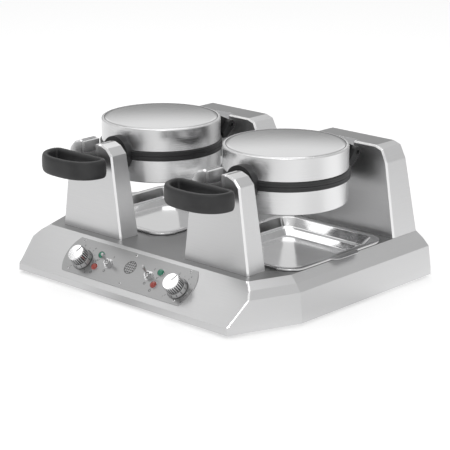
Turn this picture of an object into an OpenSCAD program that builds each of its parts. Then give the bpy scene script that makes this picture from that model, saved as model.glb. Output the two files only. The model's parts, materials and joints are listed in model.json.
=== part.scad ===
// Double rotary waffle maker for a food truck counter: two round heads that open
// like a book and turn over in their towers, two lift-out drip trays, one control panel.
// +X is to the right, -Y is the operator's side, +Z is up. The origin is on the counter,
// under the middle of the whole machine.

/* [Base] */
// Width across the bottom lip
base_w = 608.8; // [604:0.4:616]
// Depth of the base at its bottom lip
base_d = 483; // [480:1:488]
// Height of the base shell, from its lip to the deck
base_h = 74; // [72:1:76]
// How far the sides flare out below the deck
side_flare = 34.6; // [32:0.2:36]
// Turn of the cut front corners away from the depth direction
corner_turn = 21; // [18:1:24]
// Distance from the head centres to the face of the cut corners, at the lip
corner_reach = 331.6; // [330:0.4:334]
// Depth of the sloping control face
slope_d = 64.5; // [62:0.5:66]
// Height of the upright lip under the control face
lip_h = 12.5; // [11:0.5:14]
// Thickness of the sheet steel
sheet = 1.5; // [1.2:0.1:1.8]
// Height of the rubber feet below the lip
foot_h = 5; // [4:0.5:8]

/* [Heads] */
// Distance from the middle of the machine to each head
head_x = 151; // [150:0.5:152]
// Distance from the head centres to the back wall
head_to_back = 222; // [220:1:224]
// Height of the turning axis above the deck
axis_rise = 132.6; // [131:0.2:136]
// Radius of the metal housings
head_r = 109; // [106:0.5:110]
// Height of one housing
housing_h = 41; // [38:0.5:42]
// Radius of the black insulating rings
ring_r = 112; // [111:0.5:113]
// Height of one insulating ring
ring_h = 8; // [7:0.5:9]
// Gap between the two halves when closed
part_gap = 0.3; // [0.3:0.05:0.5]

/* [Waffle grids] */
// Spacing of the waffle pockets
pocket_pitch = 22; // [20:0.5:24]
// Width of the channels between the pegs
channel_w = 9; // [7:0.5:10]
// Depth of the channels
channel_depth = 9; // [7:0.5:10]
// How far the pegs stop below the rim
batter_gap = 5; // [4:0.5:6]

/* [Turning and hinge] */
// Radius of the split front journal
journal_r = 14; // [13:0.5:15]
// Radius of the rear spindle
spindle_r = 14; // [12:0.5:14]
// Running clearance of the journals and pins
run_gap = 0.06; // [0.04:0.01:0.09]
// Distance from the head centre back to the lid hinge pin
hinge_back = 140; // [139:0.5:141]
// Height of the lid hinge pin above the turning axis
hinge_up = 15.4; // [15:0.2:16]
// Radius of the lid hinge pin
pin_r = 5; // [4:0.5:5.5]

/* [Handles] */
// Half width of the handle loop
loop_half = 68; // [62:1:70]
// Distance from the head centre to the back of the loop
loop_back = 193; // [191:0.5:195]
// Front to back size of the loop
loop_d = 66; // [60:1:68]
// Height of the loop
loop_h = 33; // [30:0.5:34]
// Thickness of the bar of the loop
loop_bar = 12; // [10:0.5:13]

/* [Controls] */
// Places of the knobs across the panel, left and right
knob_x = [-117, 116];
// Places of the lamps across the panel, left and right
lamp_x = [-82, 63.5];
// Places of the switches across the panel, left and right
switch_x = [-56, 43.5];
// Distance of the knobs down the slope
knob_s = 47.7; // [46:0.1:49]
// Distance of the switches down the slope
switch_s = 41; // [39:0.5:43]
// Distance of the green lamps down the slope
ready_s = 29; // [28:0.5:30]
// Distance of the red lamps down the slope
power_s = 54; // [53:0.5:56]
// Height of the knobs above the panel
knob_h = 26; // [22:0.5:28]
// Radius of the knob skirt
knob_skirt_r = 20; // [18:0.5:20.5]
// Lean of the switch levers up and down the slope
lever_lean = 12; // [10:1:14]

/* [Drip trays] */
// Half width of a tray over its rim
tray_half = 119; // [117:0.5:120]
// Distance from the head centre to the front of the rim
tray_front = 119; // [117:0.5:120]
// Distance from the head centre to the back of the rim
tray_back = 137.5; // [136:0.5:139]
// Radius of the tray corners
tray_corner = 34; // [30:1:38]
// Depth of the tray below its rim
tray_depth = 24; // [20:0.5:26]
// Height of the rim above the deck
rim_h = 4.5; // [4:0.5:5]

/* [Power inlet] */
// Radius of the cable hole in the gland
gland_bore_r = 5; // [4.5:0.1:5.5]
// How far the gland stands out of the back wall
gland_out = 11; // [9:0.5:12]

/* [Hidden] */
$fn = 64;
steel = [0.78, 0.78, 0.78];
bright = [0.86, 0.86, 0.87];
black = [0.16, 0.16, 0.16];

deck_z = foot_h + base_h;
axis_z = deck_z + axis_rise;
front_y = -(base_d + gland_out) / 2;
back_y = front_y + base_d;
head_y = back_y - head_to_back;
deck_edge_y = front_y + slope_d;
deck_half = base_w / 2 - side_flare;
slope_h = base_h - lip_h;
slope_a = atan2(slope_h, slope_d);
big = 1000;

// Front tower, measured from the head centre and the deck
ft_front = 177.5;
ft_depth = 42;
ft_half = 74.3;
ft_folds = [[57, 114], [54, 147], [42, 159.5], [28, 164.7]];
ft_lean = -0.0395;
// Rear tower, measured from the head centre and the deck
rt_front = 156;
rt_depth = 65;
rt_half = 118.8;
rt_folds = [[96, 132], [85, 155.5], [70, 160.6]];
rt_front_lean = 0.0218;
rt_back_lean = -0.053;
tower_bevel = 3;
// Depth to which the tower outlines run on below the deck, where they are cut off
tower_sink = 20;
notch_r = 21.6;
recess_d = 13;

housing_wall = 2;
dome_h = 3;
housing_edge_r = 5;
ring_in_r = 100;
grid_t = 17;
waffle_r = 90.5;
element_r = 70;
element_tube_r = 3.5;
flange_r = 32;
flange_front = 118;
journal_l = 63;
neck_r = 13;
ear_in = 35.3;
ear_out = 46;
ear_r = 9.4;
web_low = -6;
web_high = 3.5;
arm_in = 18;
arm_out = 35;
hub_r = 17;
hub_front = 118;
hub_back = 134;
spindle_back = 208;
bearing_front = rt_front + recess_d + 6.5;
bearing_l = 30;

// Folds of the flared sides: share of the flare against share of the base height
flare_folds = [[0, 1], [0.46, 0.86], [0.82, 0.7], [0.98, 0.2], [1, 0], [1, -0.02]];
opening_in = 11.3;
opening_corner = 24;
gland_z = foot_h + 30;
gland_thread_r = 8;
foot_spots = [[-235, -220], [235, -220], [-278, 208], [278, 208]];
cover_spots = [for (x = [-72, 72], y = [18, 132]) [x, y]];

panel_x = -7;
panel_half = 155;
panel_top_s = 7;
panel_end_r = 54;
panel_depth = 70;
panel_t = 1.2;
panel_screw_gap = 130;
knob_face_r = 15.5;
knob_grip_r = 16.8;
skirt_h = 7.5;
ridge_d = 0.9;
pointer_turn = -25;
lamp_r = 6.6;
bush_r = 5.9;
lever_pivot_h = 7.5;
lever_l = 19;
loop_round = 16;
tray_rim_w = 11;
tray_wall = 1.2;
ledge_z = -0.62 * tray_depth;
sides = [-1, 1];

// Points of an arc, from angle a to angle b
function arc(c, r, a, b, n = 8) = [
    for (i = [0 : n]) c + r * [cos(a + (b - a) * i / n), sin(a + (b - a) * i / n)]];
// A right-hand half outline, closed by its mirror image
function mirrored(half) = concat(half, [for (i = [len(half) - 1 : -1 : 0]) [-half[i][0], half[i][1]]]);
// Folded side of the base: reach from the middle against height, moved in by inset
function flare(deck_reach, extra, inset) = [
    for (p = flare_folds) [deck_reach + extra * p[0] - inset, base_h * p[1] - inset]];

// The point where the line from a to b, run on backwards, meets the sunken foot of a tower
function sunk(a, b) = a + (a - b) * tower_sink / (b[1] - a[1]);

// Outlines of the towers, seen from the front
front_outline = mirrored(concat([sunk([ft_half, 0], ft_folds[0])], ft_folds));
rear_outline = mirrored(concat([sunk([rt_half, 0], rt_folds[0])], rt_folds));

module at_head(side) translate([side * head_x, head_y, axis_z]) children();
module at_tower(side) translate([side * head_x, head_y, deck_z]) children();
module on_panel(x, s, h = 0) {
    translate([x, deck_edge_y, deck_z]) rotate([slope_a, 0, 0]) translate([0, -s, h]) children();
}
// A cylinder lying along +Y from y to y + l
module rod(r, y, l) translate([0, y, 0]) rotate([-90, 0, 0]) cylinder(r = r, h = l);
// A cylinder lying along X from x0 to x1
module cross_rod(r, x0, x1) translate([x0, 0, 0]) rotate([0, 90, 0]) cylinder(r = r, h = x1 - x0);
// An outline in the YZ plane, stretched along X from x0 to x1
module side_plate(x0, x1) translate([x0, 0, 0]) rotate([90, 0, 90]) linear_extrude(x1 - x0) children();
// An outline in the XZ plane, stretched along +Y from y to y + l
module front_plate(y, l) translate([0, y + l, 0]) rotate([90, 0, 0]) linear_extrude(l) children();
module rounded(x0, x1, y0, y1, r) {
    translate([x0 + r, y0]) square([x1 - x0 - 2 * r, y1 - y0]);
    translate([x0, y0 + r]) square([x1 - x0, y1 - y0 - 2 * r]);
    for (x = [x0 + r, x1 - r], y = [y0 + r, y1 - r]) translate([x, y]) circle(r);
}
module pan_screw(r, h) {
    cylinder(r = r, h = h * 0.6);
    translate([0, 0, h * 0.6]) cylinder(r1 = r, r2 = r * 0.7, h = h * 0.4);
}

// Base: the outer block of the base, with every face moved in by inset
module base_block(inset) {
    drop = inset / cos(slope_a);
    top = base_h - inset;
    intersection() {
        translate([0, 0, foot_h]) side_plate(-big / 2, big / 2) polygon([
            [front_y + inset, -1],
            [front_y + inset, lip_h - drop + inset * tan(slope_a)],
            [deck_edge_y + (drop - inset) / tan(slope_a), top],
            [back_y - inset, top],
            [back_y - inset, -1]]);
        translate([0, 0, foot_h]) front_plate(-big / 2, big)
            polygon(mirrored(flare(deck_half, side_flare, inset)));
        intersection_for (s = sides) {
            translate([0, head_y, foot_h]) rotate([0, 0, -s * corner_turn]) corner_slab(s, 1.3 * inset);
        }
    }
}
// Half space on the inner side of one cut corner, wide enough to hold the rest of the base
module corner_slab(s, inset) {
    face = flare(corner_reach - side_flare - 2, side_flare + 2, inset);
    closed = concat(face, [[-big / 2, -inset - 1], [-big / 2, base_h - inset]]);
    front_plate(-big / 2, big) polygon([for (p = closed) [s * p[0], p[1]]]);
}
module panel_holes() {
    for (i = [0, 1]) {
        on_panel(knob_x[i], knob_s, -10) cylinder(r = 5.2, h = 20);
        on_panel(switch_x[i], switch_s, -10) cylinder(r = bush_r + 0.2, h = 20);
        on_panel(lamp_x[i], ready_s, -10) cylinder(r = 5.2, h = 20);
        on_panel(lamp_x[i], power_s, -10) cylinder(r = 5.2, h = 20);
    }
}
module base_shell() color(steel) difference() {
    intersection() {
        base_block(0);
        translate([-big / 2, -big / 2, foot_h]) cube([big, big, base_h]);
    }
    base_block(sheet);
    for (s = sides) at_tower(s) {
        translate([0, 0, -10]) linear_extrude(20) tray_opening();
        wire_holes();
    }
    panel_holes();
    translate([0, back_y - 5, gland_z]) rotate([-90, 0, 0]) cylinder(r = gland_thread_r + 0.2, h = 10);
}
// Opening in the deck for the well of one tray
module tray_opening() {
    x = tray_half - opening_in;
    rounded(-x, x, opening_in - tray_front, tray_back - opening_in, opening_corner);
}
// Wire holes in the deck under the towers
module wire_holes() for (y = [-ft_front + 20, rt_front + 40]) {
    translate([-30, y, -5]) cylinder(r = 8, h = 10);
}
module bottom_plate() color(steel) difference() {
    intersection() {
        base_block(sheet + 0.5);
        translate([-big / 2, -big / 2, foot_h]) cube([big, big, sheet]);
    }
    for (s = sides, i = [-4 : 4]) translate([s * 110 - 40, i * 16 - 2, 0]) cube([80, 4, 20]);
    for (p = foot_spots) translate([p[0], p[1], 0]) cylinder(r = 2.1, h = 20);
}
module rubber_feet() color(black) for (p = foot_spots) translate([p[0], p[1], 0]) difference() {
    cylinder(r1 = 13, r2 = 15, h = foot_h);
    translate([0, 0, -1]) cylinder(r = 5, h = 1 + foot_h / 2);
    translate([0, 0, -1]) cylinder(r = 2.1, h = 20);
}
module foot_screws() color(bright) for (p = foot_spots) translate([p[0], p[1], foot_h / 2]) {
    mirror([0, 0, 1]) pan_screw(4.2, 2);
    cylinder(r = 2, h = 12);
}

// Control panel and what is fixed in it
module panel_outline() intersection() {
    translate([-panel_half, -panel_depth]) square([2 * panel_half, panel_depth]);
    union() {
        end_x = panel_half - panel_end_r;
        translate([-end_x, -panel_depth]) square([2 * end_x, panel_depth]);
        for (s = sides) translate([s * end_x, -panel_depth / 2]) circle(panel_end_r);
    }
}
module control_panel() color([0.7, 0.7, 0.7]) difference() {
    on_panel(panel_x, panel_top_s) linear_extrude(panel_t) panel_outline();
    panel_holes();
    each_panel_screw() translate([0, 0, -1]) cylinder(r = 1.6, h = 5);
}
module each_panel_screw() for (i = [-1 : 1], s = [panel_top_s + 5, panel_top_s + panel_depth - 7]) {
    on_panel(panel_x + i * panel_screw_gap, s) children();
}
module panel_screws() color(bright) each_panel_screw() {
    translate([0, 0, panel_t]) pan_screw(2.6, 1.6);
    cylinder(r = 1.5, h = panel_t);
}
module switch_bodies() color(bright) for (x = switch_x) on_panel(x, switch_s) difference() {
    union() {
        translate([-7, -14, -30]) cube([14, 28, 27]);
        translate([0, 0, -3]) cylinder(r = bush_r, h = 12);
    }
    translate([0, 0, lever_pivot_h]) sphere(r = 3.8);
    translate([0, 0, lever_pivot_h]) cylinder(r1 = 3.8, r2 = 4.4, h = 2);
    translate([0, 0, -4]) cylinder(r = 3.4, h = 10);
}
module switch_nuts() color(bright) for (x = switch_x) on_panel(x, switch_s, panel_t) difference() {
    union() {
        cylinder(r = 8.6, h = 0.8);
        translate([0, 0, 0.8]) cylinder(r = 8, h = 2.6, $fn = 6);
    }
    translate([0, 0, -1]) cylinder(r = bush_r, h = 6);
}
module toggle_lever(i) color(bright) on_panel(switch_x[i], switch_s, lever_pivot_h) {
    rotate([-lever_lean, 0, 0]) {
        sphere(r = 3.4);
        cross_rod(0.9, -3.6, 3.6);
        translate([0, 0, 1]) cylinder(r1 = 1.7, r2 = 2.7, h = lever_l - 1);
        translate([0, 0, lever_l]) sphere(r = 2.7);
        translate([0, 0, -8]) cylinder(r = 1.2, h = 6);
    }
}
module thermostats() color([0.6, 0.6, 0.62]) for (x = knob_x) on_panel(x, knob_s) difference() {
    union() {
        translate([0, 0, -26]) cylinder(r = 17, h = 23);
        translate([0, 0, -4]) cylinder(r = 5, h = 8);
    }
    translate([0, 0, -14]) cylinder(r = 3 + run_gap, h = 30);
}
// Grip outline with fine ridges
function ridges(r, depth, n) = [
    for (i = [0 : 2 * n - 1]) (r - depth * (i % 2)) * [cos(180 * i / n), sin(180 * i / n)]];
module knob(i) on_panel(knob_x[i], knob_s) rotate([0, 0, pointer_turn]) color(bright) {
    difference() {
        union() {
            translate([0, 0, 2]) cylinder(r1 = knob_skirt_r, r2 = knob_skirt_r - 2.4, h = skirt_h);
            translate([0, 0, 2]) cylinder(r = knob_grip_r - ridge_d - 0.4, h = skirt_h + 2);
            translate([0, 0, skirt_h + 3]) linear_extrude(knob_h - skirt_h - 5)
                polygon(ridges(knob_grip_r, ridge_d, 34));
            translate([0, 0, knob_h - 2]) cylinder(r1 = knob_face_r, r2 = knob_face_r - 0.8, h = 2);
        }
        translate([0, 0, 1]) cylinder(r = 9, h = 8);
        translate([-0.7, 2, knob_h - 0.6]) cube([1.4, 20, 2]);
    }
    translate([0, 0, -13]) cylinder(r = 3, h = 24);
}
module lamp(s) for (x = lamp_x) on_panel(x, s) {
    translate([0, 0, -18]) cylinder(r = 5, h = 18 + panel_t);
    intersection() {
        translate([0, 0, panel_t]) cylinder(r = lamp_r, h = lamp_r);
        translate([0, 0, panel_t - 0.4]) sphere(r = lamp_r + 0.1);
    }
}
module ready_lamps() color([0.05, 0.45, 0.32]) lamp(ready_s);
module power_lamps() color([0.6, 0.1, 0.08]) lamp(power_s);
module control_board() color([0.1, 0.35, 0.2]) translate([-60, -20, foot_h + sheet]) {
    for (x = [4, 110], y = [4, 70]) translate([x, y, 0]) cylinder(r = 3, h = 10);
    translate([0, 0, 10]) cube([114, 74, 1.6]);
    for (x = [14, 44, 74]) translate([x, 16, 11.6]) cube([20, 28, 16]);
}
module terminal_block() color([0.85, 0.83, 0.75]) {
    translate([-45, back_y - 60, foot_h + sheet]) difference() {
        cube([90, 28, 22]);
        for (x = [15, 45, 75]) translate([x, -1, 12]) {
            cube([12, 40, 20]);
            translate([6, 15, -4]) cylinder(r = 2.5, h = 20);
        }
    }
}
module cord_gland() color(black) translate([0, back_y, gland_z]) difference() {
    union() {
        rod(gland_thread_r, -sheet - 9, 20 + sheet);
        rotate([-90, 0, 0]) cylinder(r = 12.5, h = 4, $fn = 6);
        translate([0, 4, 0]) rotate([-90, 0, 0]) cylinder(r1 = 11, r2 = 8, h = gland_out - 4);
        translate([0, -sheet - 5, 0]) rotate([-90, 0, 0]) cylinder(r = 12.5, h = 5, $fn = 6);
    }
    rod(gland_bore_r, -40, 80);
}

// Towers
module lean(k) multmatrix([[1, 0, 0, 0], [0, 1, k, 0], [0, 0, 1, 0], [0, 0, 0, 1]]) children();
module slab(outline, y, inset) front_plate(y, 0.5) offset(delta = -inset) polygon(outline);
// Sheet metal tower: bevelled round its front face, leaning by k0 in front and k1 behind
module tower_block(outline, y0, k0, y1, k1, inset) hull() {
    lean(k0) slab(outline, y0, inset + tower_bevel);
    lean(k0) slab(outline, y0 + tower_bevel, inset);
    lean(k1) slab(outline, y1 - 0.5, inset);
}
// A U-shaped opening around the turning axis, open at the top
module u_shape(r, y, l) {
    translate([0, 0, axis_rise]) rod(r, y, l);
    translate([-r, y, axis_rise]) cube([2 * r, l, 60]);
}
// The half space above the deck
module above_deck() translate([-big / 2, -big / 2, 0]) cube([big, big, big]);
module front_tower(side) color(steel) at_tower(side) difference() {
    intersection() {
        front_tower_block(0);
        above_deck();
    }
    front_tower_block(sheet);
    u_shape(notch_r, -ft_front - 10, ft_depth + 20);
}
module front_tower_block(inset) {
    back = ft_depth - ft_front - inset;
    tower_block(front_outline, -ft_front + inset, 0, back, ft_lean, inset);
}
module rear_tower_block(inset) {
    back = rt_front + rt_depth - inset;
    tower_block(rear_outline, rt_front + inset, rt_front_lean, back, rt_back_lean, inset);
}
module rear_tower(side) color(steel) at_tower(side) {
    recess_y = rt_front + recess_d + 3;
    difference() {
        intersection() {
            rear_tower_block(0);
            above_deck();
        }
        rear_tower_block(sheet);
        u_shape(notch_r + sheet, rt_front - 10, recess_y - rt_front + 10 + sheet);
        translate([-65, rt_front + rt_depth - 20, 25]) cube([130, 30, 100]);
    }
    difference() {
        intersection() {
            rear_tower_block(0);
            u_shape(notch_r + sheet, rt_front - 10, recess_y - rt_front + 10 + sheet);
        }
        u_shape(notch_r, rt_front - 20, recess_y - rt_front + 20);
        translate([0, 0, axis_rise]) rod(spindle_r + 1.5, 0, 300);
    }
}
// Flat on the leaning back of the rear towers: x across, y up the slope
module on_back(side) at_tower(side) translate([0, rt_front + rt_depth, 0]) {
    rotate([90 - atan(rt_back_lean), 0, 0]) mirror([0, 0, 1]) children();
}
module rear_covers() color(steel) for (s = sides) on_back(s) difference() {
    linear_extrude(sheet) rounded(-80, 80, 10, 140, 8);
    for (p = cover_spots) translate([p[0], p[1], -1]) cylinder(r = 1.7, h = 4);
    for (i = [-3 : 3]) translate([-30, 75 + i * 10, -1]) cube([60, 4, 4]);
}
module cover_screws() color(bright) for (s = sides, p = cover_spots) on_back(s) translate([p[0], p[1], 0]) {
    cylinder(r = 1.6, h = sheet);
    translate([0, 0, sheet]) pan_screw(3.4, 2);
}
// Steel cradles in the front towers, each on its own pedestal
module front_cradles() color(bright) for (s = sides) at_tower(s) difference() {
    union() {
        intersection() {
            u_shape(notch_r - 0.2, -ft_front + 0.3, ft_depth - 6);
            translate([-40, -300, 0]) cube([80, 300, 163]);
        }
        translate([-28, -ft_front + 12, 0]) cube([56, 8, axis_rise]);
        translate([-34, -ft_front + 6, 0]) cube([68, 24, 3]);
    }
    u_shape(journal_r + run_gap, -ft_front - 10, ft_depth + 20);
    for (s = sides) translate([s * notch_r, -ft_front + 22, axis_rise + 13.5]) {
        rotate([0, 90, 0]) oval_slot(6, 24, 12);
    }
}
// A slot with round ends, l long in Y and w wide in X, centred
module oval_slot(w, l, h) translate([0, 0, -h / 2]) linear_extrude(h) {
    square([w, l - w], center = true);
    for (s = sides) translate([0, s * (l - w) / 2]) circle(w / 2);
}
// Flanged bearings in the rear towers, each on its own pedestal
module rear_bearings() color([0.72, 0.6, 0.4]) for (s = sides) at_tower(s) difference() {
    union() {
        translate([0, 0, axis_rise]) rod(20, bearing_front, bearing_l);
        translate([0, 0, axis_rise]) rod(23, bearing_front, 5);
        translate([-25, bearing_front + 8, 0]) cube([50, 8, axis_rise]);
        translate([-34, bearing_front + 2, 0]) cube([68, 26, 3]);
    }
    translate([0, 0, axis_rise]) rod(spindle_r + run_gap, 0, 300);
}

// Heads: half housing as a cup, from z = 0 at its open edge up to its crowned end
function cup_side(r, h) = concat([[r, 0]],
    arc([r - housing_edge_r, h - housing_edge_r], housing_edge_r, 0, 80, 6));
module half_housing() {
    inner = head_r - housing_wall;
    crown = housing_h + dome_h;
    rotate_extrude() difference() {
        polygon(concat(cup_side(head_r, housing_h), [[head_r * 0.5, crown - 0.8], [0, crown], [0, 0]]));
        translate([-1, -1]) square([inner + 1, housing_h - housing_wall + 1]);
    }
}
// Black ring: a lip round the waffle hides the edge of the grid
module half_ring() difference() {
    cylinder(r = ring_r, h = ring_h);
    translate([0, 0, -1]) cylinder(r = waffle_r, h = ring_h + 2);
    translate([0, 0, batter_gap - 0.3]) cylinder(r = ring_in_r, h = ring_h);
}
// Cast grid: its pegs batter_gap behind the parting plane, its back standing on four posts
module half_grid() {
    difference() {
        translate([0, 0, batter_gap]) cylinder(r = ring_in_r - 0.2, h = grid_t - batter_gap);
        intersection() {
            cylinder(r = waffle_r - 1.5, h = batter_gap + channel_depth);
            for (a = [0, 90]) rotate([0, 0, a]) for (i = [-3.5 : 3.5]) {
                translate([i * pocket_pitch - channel_w / 2, -big / 2, 0]) cube([channel_w, big, 30]);
            }
        }
    }
    for (a = [45 : 90 : 315]) rotate([0, 0, a]) translate([40, 0, grid_t - 1]) {
        cylinder(r = 5, h = ring_h + housing_h - housing_wall - grid_t + 1);
    }
}
// Tubular heating element with two cold ends
module half_element() {
    z = grid_t + element_tube_r;
    translate([0, 0, z]) rotate_extrude() translate([element_r, 0]) circle(element_tube_r);
    for (s = sides) translate([s * 8, element_r, z]) cylinder(r = 2.5, h = 12);
}
// Split journal: half a flange against the housing and half a shaft of length l through the cradle
module half_journal(l) intersection() {
    union() {
        difference() {
            rod(flange_r, -flange_front, flange_front - 90);
            translate([0, 0, -60]) cylinder(r = ring_r + 0.1, h = 60 + ring_h + 0.2);
            cylinder(r = head_r, h = 200);
        }
        rod(journal_r, -flange_front - l, l + 1);
        rod(journal_r + 5, -flange_front - 8, 9);
    }
    translate([-60, -300, part_gap / 2]) cube([120, 300, 80]);
}
module upper_half(side) at_head(side) translate([0, 0, part_gap / 2]) children();
module lower_half(side) at_head(side) mirror([0, 0, 1]) translate([0, 0, part_gap / 2]) children();
module upper_housing(side) color(bright) upper_half(side) translate([0, 0, ring_h]) half_housing();
module lower_housing(side) color(bright) lower_half(side) translate([0, 0, ring_h]) half_housing();
module upper_ring(side) color(black) upper_half(side) half_ring();
module lower_ring(side) color(black) lower_half(side) half_ring();
module upper_grid(side) color([0.35, 0.35, 0.36]) upper_half(side) half_grid();
module lower_grid(side) color([0.35, 0.35, 0.36]) lower_half(side) half_grid();
module upper_element(side) color([0.3, 0.28, 0.27]) upper_half(side) half_element();
module lower_element(side) color([0.3, 0.28, 0.27]) lower_half(side) half_element();
module upper_journal(side) color(black) at_head(side) {
    half_journal(journal_l);
    rod(neck_r, -loop_back, loop_back - flange_front - journal_l);
}
module lower_journal(side) color(black) at_head(side) mirror([0, 0, 1]) half_journal(journal_l - 0.5);

// Rear yoke: saddle on the lower housing, web, hub for the spindle and two ears for the pin
module hinge_bracket(side) color(black) at_head(side) difference() {
    union() {
        difference() {
            translate([-40, 90, -42]) cube([80, hub_front - 88, 30]);
            translate([0, 0, -60]) cylinder(r = head_r, h = 100);
        }
        translate([-ear_in + 3, hub_front, -42]) cube([2 * ear_in - 6, 8, 40]);
        translate([-ear_out, hub_front, web_low]) cube([2 * ear_out, 8, web_high - web_low]);
        rod(hub_r, hub_front, hub_back - hub_front);
        for (s = sides) side_plate(s > 0 ? ear_in : -ear_out, s > 0 ? ear_out : -ear_in) {
            polygon([[hub_front, web_low], [hub_front + 10, web_low], [hinge_back + 8.2, hinge_up - 4.5],
                [hinge_back - 7, hinge_up + 5.5], [hub_front, web_high]]);
            translate([hinge_back, hinge_up]) circle(ear_r);
        }
    }
    translate([0, hinge_back, hinge_up]) cross_rod(pin_r, -60, 60);
    rod(spindle_r, 110, 60);
}
// Two stub pins, one in each ear
module hinge_pin(side) color(bright) at_head(side) translate([0, hinge_back, hinge_up]) {
    cross_rod(pin_r, -ear_out - 1, 1 - arm_in);
    cross_rod(pin_r, arm_in - 1, ear_out + 1);
}
module rear_spindle(side) color(bright) at_head(side) difference() {
    rod(spindle_r, hub_front + 2, spindle_back - hub_front - 2);
    rod(6, 0, 300);
}
// Lid arms: saddle on the upper housing and two arms round the pin
module hinge_arm(side) color(black) at_head(side) difference() {
    union() {
        difference() {
            translate([-arm_out, 85, ring_h + 1]) cube([2 * arm_out, 31, 27]);
            translate([0, 0, -60]) cylinder(r = head_r, h = 200);
        }
        for (s = sides) side_plate(s > 0 ? arm_in : -arm_out, s > 0 ? arm_out : -arm_in) {
            polygon([[112, ring_h + 1], [hinge_back - 2, hinge_up - 9.3], [hinge_back + 4, hinge_up + 8.6],
                [118, ring_h + 28], [112, ring_h + 28]]);
            translate([hinge_back, hinge_up]) circle(9.5);
        }
    }
    translate([0, hinge_back, hinge_up]) cross_rod(pin_r + run_gap, -60, 60);
}
// Handle loop: straight bar towards the head, bowed bar in front, as a closed outline
function bow(t, w, d) = [
    w * sign(cos(t)) * pow(abs(cos(t)), 0.8), -d * pow(sin(t), 0.9)];
function loop_outline(w, d, r) = concat([for (i = [1 : 29]) bow(6 * i, w, d)],
    arc([r - w, 0], r, 180, 90, 6), arc([w - r, 0], r, 90, 0, 6));
module loop_plan(inset) {
    polygon(loop_outline(loop_half - inset, loop_d - loop_round - inset, loop_round - inset));
}
module loop_layer(half_h, inset) translate([0, 0, -half_h]) linear_extrude(2 * half_h) difference() {
    loop_plan(inset);
    loop_plan(loop_bar);
}
module handle(side) color(black) at_head(side) translate([0, -loop_back - loop_round, 0]) {
    loop_layer(loop_h / 2 - 6, 0);
    loop_layer(loop_h / 2 - 2.5, 1);
    loop_layer(loop_h / 2, 3.5);
}

// Drip tray: a flat rim with a curled edge, a steep wall, a ledge and a flat floor
module tray_plan(inset) {
    x = tray_half - inset;
    rounded(-x, x, inset - tray_front, tray_back - inset, max(tray_corner - inset * 0.6, 6));
}
module tray_step(z0, inset0, z1, inset1) hull() {
    translate([0, 0, z0]) linear_extrude(0.05) tray_plan(inset0);
    translate([0, 0, z1]) linear_extrude(0.05) tray_plan(inset1);
}
module drip_tray(side) color(bright) at_tower(side) translate([0, 0, rim_h]) {
    difference() {
        union() {
            translate([0, 0, -tray_wall]) linear_extrude(tray_wall) tray_plan(0);
            translate([0, 0, 0.3 - rim_h]) linear_extrude(rim_h - 0.3) difference() {
                tray_plan(0);
                tray_plan(tray_wall);
            }
            tray_step(ledge_z - tray_wall, 22.6, -0.6, tray_rim_w - 1.4);
            tray_step(-tray_depth - tray_wall, 43.8, ledge_z - 0.6, 31.4);
        }
        tray_step(ledge_z, 24, 0.5, tray_rim_w);
        tray_step(-tray_depth, 45, ledge_z + 0.1, 33);
    }
    // Pull tab on the outer edge
    intersection() {
        translate([0, -18, -2.2]) linear_extrude(2.2) rounded(-tray_half - 12, tray_half + 12, 0, 68, 8);
        translate([side > 0 ? tray_half - 2 : -tray_half - 20, -200, -20]) cube([22, 400, 40]);
    }
}

base_shell();
bottom_plate();
rubber_feet();
foot_screws();
control_panel();
panel_screws();
front_tower(-1);  // front_tower_left
front_tower(1);  // front_tower_right
rear_tower(-1);  // rear_tower_left
rear_tower(1);  // rear_tower_right
rear_covers();
cover_screws();
front_cradles();
rear_bearings();
cord_gland();
control_board();
terminal_block();
switch_bodies();
switch_nuts();
thermostats();
ready_lamps();
power_lamps();
lower_housing(-1);  // lower_housing_left
lower_ring(-1);  // lower_ring_left
lower_grid(-1);  // lower_grid_left
lower_element(-1);  // lower_element_left
lower_journal(-1);  // lower_journal_left
hinge_bracket(-1);  // hinge_bracket_left
hinge_pin(-1);  // hinge_pin_left
rear_spindle(-1);  // rear_spindle_left
upper_housing(-1);  // upper_housing_left
upper_ring(-1);  // upper_ring_left
upper_grid(-1);  // upper_grid_left
upper_element(-1);  // upper_element_left
upper_journal(-1);  // upper_journal_left
hinge_arm(-1);  // hinge_arm_left
handle(-1);  // handle_left
lower_housing(1);  // lower_housing_right
lower_ring(1);  // lower_ring_right
lower_grid(1);  // lower_grid_right
lower_element(1);  // lower_element_right
lower_journal(1);  // lower_journal_right
hinge_bracket(1);  // hinge_bracket_right
hinge_pin(1);  // hinge_pin_right
rear_spindle(1);  // rear_spindle_right
upper_housing(1);  // upper_housing_right
upper_ring(1);  // upper_ring_right
upper_grid(1);  // upper_grid_right
upper_element(1);  // upper_element_right
upper_journal(1);  // upper_journal_right
hinge_arm(1);  // hinge_arm_right
handle(1);  // handle_right
knob(0);  // knob_left
knob(1);  // knob_right
toggle_lever(0);  // toggle_lever_left
toggle_lever(1);  // toggle_lever_right
drip_tray(-1);  // drip_tray_left
drip_tray(1);  // drip_tray_right
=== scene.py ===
import bpy
import bmesh
import json
import math
from mathutils import Matrix, Vector


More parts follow.
